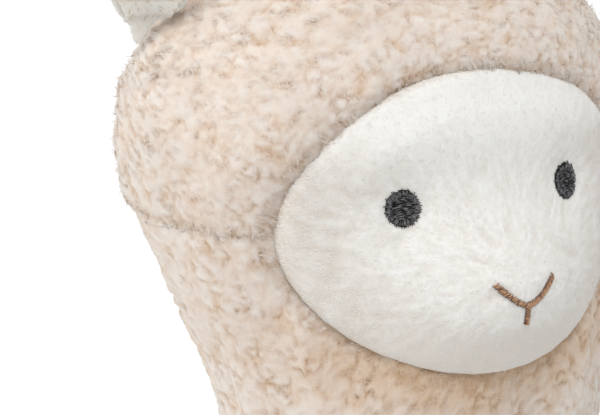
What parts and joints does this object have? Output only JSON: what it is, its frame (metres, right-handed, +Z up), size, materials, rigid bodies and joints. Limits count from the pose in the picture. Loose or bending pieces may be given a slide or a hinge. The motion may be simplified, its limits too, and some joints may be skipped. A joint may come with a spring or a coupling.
{
  "type": "stuffed alpaca",
  "caption": "Standing soft toy alpaca in curly cream fleece, with a smooth white plush face, embroidered eyes, a stitched nose and mouth, cupped ears and a short tail.",
  "frame": {"origin": "on the floor, at the centre of the part's bounding box seen from above", "axes": "+Z up, -Y the way the face looks, +X the toy's left"},
  "size_m": [0.1776, 0.2698, 0.4183],
  "materials": {
    "fleece": "curly teddy fleece with a deep soft pile, cream with warmer crevices",
    "face_plush": "short dense plush, warm white",
    "sole_plush": "short dense plush, warm white",
    "ear_plush": "short plush, pale grey-white",
    "ear_lining": "short plush, tan",
    "eye_thread": "charcoal embroidery thread with a silky sheen",
    "mouth_thread": "brown embroidery thread with a silky sheen"
  },
  "bodies": {
    "root": {"crown_fleece": "fleece", "body_fleece": "fleece", "face_plush": "face_plush", "eye_right": "eye_thread", "eye_left": "eye_thread", "nose_mouth_stitch": "mouth_thread", "ear_right_shell": "ear_plush", "ear_left_shell": "ear_plush", "ear_right_lining": "ear_lining", "ear_left_lining": "ear_lining", "leg_front_right": "fleece", "leg_front_left": "fleece", "leg_rear_right": "fleece", "leg_rear_left": "fleece", "sole_front_right": "sole_plush", "sole_front_left": "sole_plush", "sole_rear_right": "sole_plush", "sole_rear_left": "sole_plush", "tail_fleece": "fleece"}
  },
  "joints": []
}
